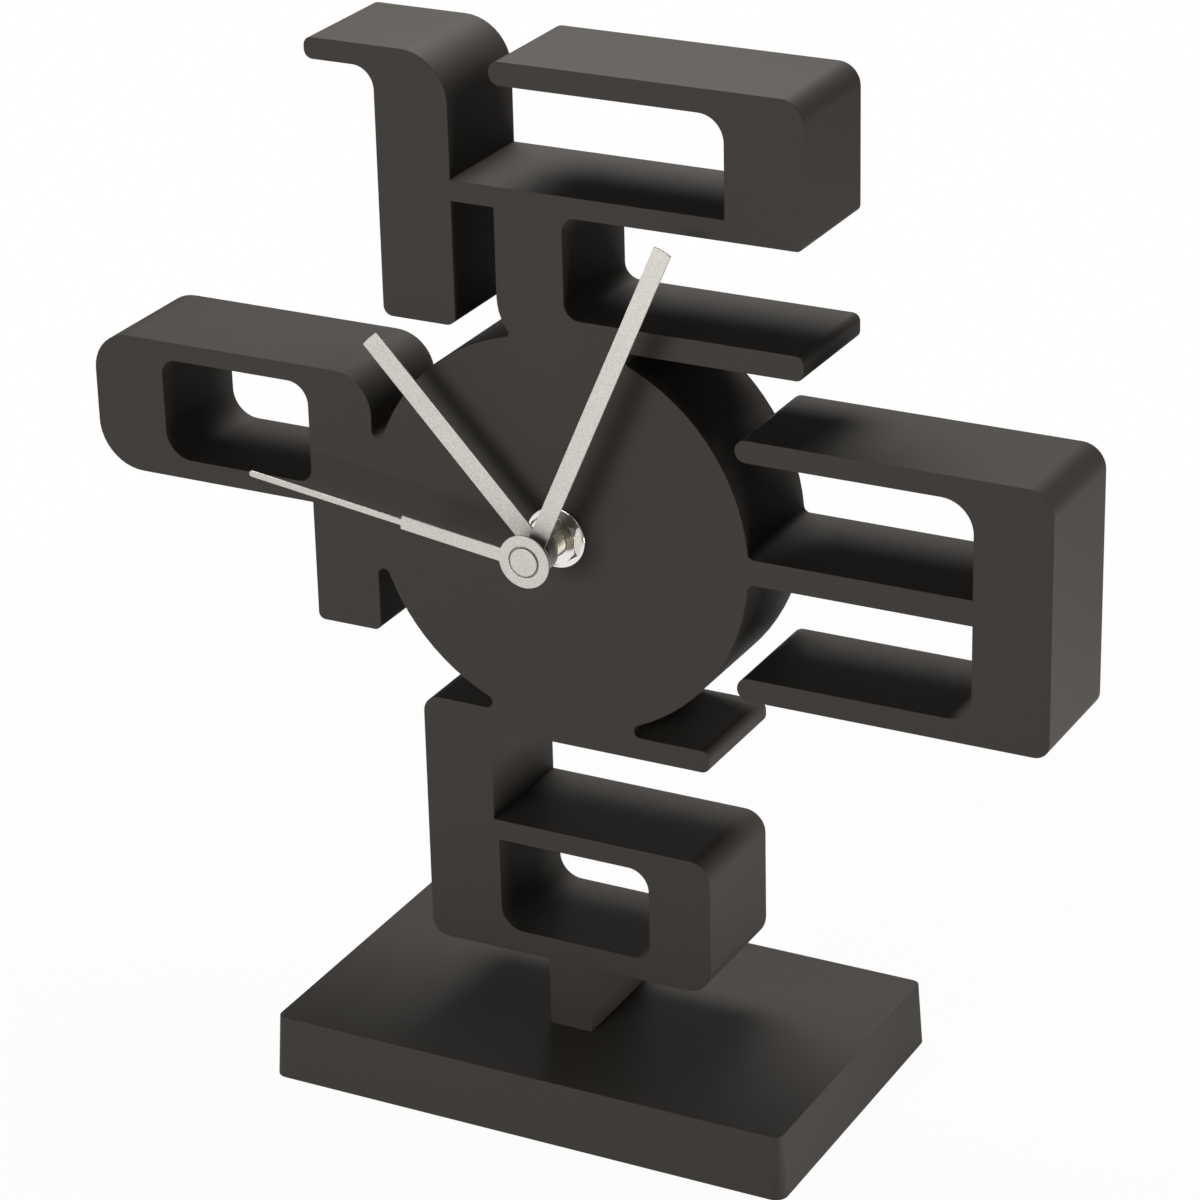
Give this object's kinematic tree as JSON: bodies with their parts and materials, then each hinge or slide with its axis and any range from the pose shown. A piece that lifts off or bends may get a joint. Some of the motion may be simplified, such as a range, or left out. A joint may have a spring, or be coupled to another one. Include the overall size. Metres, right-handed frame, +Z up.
{
  "type": "desk clock",
  "caption": "Desk clock whose thick black profile of large numerals around a blank disc stands on a drafted base, with three flat metal hands and a quartz movement set in behind the disc.",
  "frame": {"origin": "on the surface the clock stands on, under the middle of the felt pad", "axes": "+Z up, +X to the right as the dial is read, dial facing -Y, hands turn about +Y"},
  "size_m": [0.2537, 0.0864, 0.2652],
  "materials": {
    "frame_lacquer": "satin black lacquer on fibreboard",
    "felt": "dense felt",
    "hand_metal": "bead blasted",
    "plated": "bright plated",
    "bush_brass": "turned",
    "case_plastic": "fine textured moulding",
    "rubber": "matt",
    "wheel_plastic": "acetal moulding",
    "pipe_plastic": "acetal moulding",
    "knob_plastic": "moulded",
    "steel": "turned",
    "board": "green laminate",
    "chip": "cast resin",
    "bobbin": "moulded",
    "copper": "enamelled copper wire",
    "lamination": "stamped sheet",
    "magnet": "sintered",
    "contact": "nickel plated strip",
    "can": "drawn can",
    "jacket": "plain shrink sleeve"
  },
  "bodies": {
    "stand": {"numeral_frame": "frame_lacquer", "base_plate": "frame_lacquer", "base_screws": "steel", "felt_pad": "felt", "gasket": "rubber", "dial_washer": "plated", "hex_nut": "plated", "threaded_bush": "bush_brass", "movement_case": "case_plastic", "movement_cover": "case_plastic", "cover_screws": "steel", "middle_plate": "wheel_plastic", "circuit_board": "board", "chip_blob": "chip", "quartz_crystal": "can", "coil_bobbin": "bobbin", "coil_winding": "copper", "coil_core": "lamination", "stator": "lamination", "contact_positive": "contact", "contact_negative": "contact"},
    "second": {"second_hand": "hand_metal", "second_cap": "hand_metal", "second_arbor": "steel", "second_wheel": "wheel_plastic"},
    "minute": {"minute_hand": "hand_metal", "minute_pipe": "pipe_plastic", "centre_wheel": "wheel_plastic"},
    "hour": {"hour_hand": "hand_metal", "hour_wheel": "pipe_plastic"},
    "motion": {"minute_wheel": "wheel_plastic", "setting_knob": "knob_plastic"},
    "third": {"third_wheel": "wheel_plastic"},
    "step": {"step_wheel": "wheel_plastic"},
    "rotor": {"rotor_magnet": "magnet", "rotor_pinion": "wheel_plastic"},
    "battery": {"battery_cell": "can", "battery_jacket": "jacket"}
  },
  "joints": [
    {"name": "second_hand_turn", "type": "hinge", "parent": "stand", "child": "second", "pos_m": [0, 0, 0.1502], "axis": [0, 1, 0], "continuous": true},
    {"name": "minute_hand_turn", "type": "hinge", "parent": "stand", "child": "minute", "pos_m": [0, 0, 0.1502], "axis": [0, 1, 0], "continuous": true},
    {"name": "hour_hand_turn", "type": "hinge", "parent": "stand", "child": "hour", "pos_m": [0, 0, 0.1502], "axis": [0, 1, 0], "continuous": true},
    {"name": "minute_wheel_turn", "type": "hinge", "parent": "stand", "child": "motion", "pos_m": [0.0102, 0, 0.1502], "axis": [0, 1, 0], "continuous": true},
    {"name": "third_wheel_turn", "type": "hinge", "parent": "stand", "child": "third", "pos_m": [-0.009, 0, 0.1502], "axis": [0, 1, 0], "continuous": true},
    {"name": "step_wheel_turn", "type": "hinge", "parent": "stand", "child": "step", "pos_m": [0.00396, 0, 0.15706], "axis": [0, 1, 0], "continuous": true},
    {"name": "rotor_turn", "type": "hinge", "parent": "stand", "child": "rotor", "pos_m": [0.01002, 0, 0.16056], "axis": [0, 1, 0], "continuous": true},
    {"name": "battery_slide", "type": "slide", "parent": "stand", "child": "battery", "axis": [0, 1, 0], "range_m": [0, 0.025]}
  ],
  "couplings": [
    {"joint": "minute_hand_turn", "follows": "second_hand_turn", "ratio": 0.016667},
    {"joint": "hour_hand_turn", "follows": "second_hand_turn", "ratio": 0.0013889},
    {"joint": "minute_wheel_turn", "follows": "second_hand_turn", "ratio": -0.0055556},
    {"joint": "third_wheel_turn", "follows": "second_hand_turn", "ratio": -0.125},
    {"joint": "step_wheel_turn", "follows": "second_hand_turn", "ratio": -5},
    {"joint": "rotor_turn", "follows": "second_hand_turn", "ratio": 30}
  ]
}
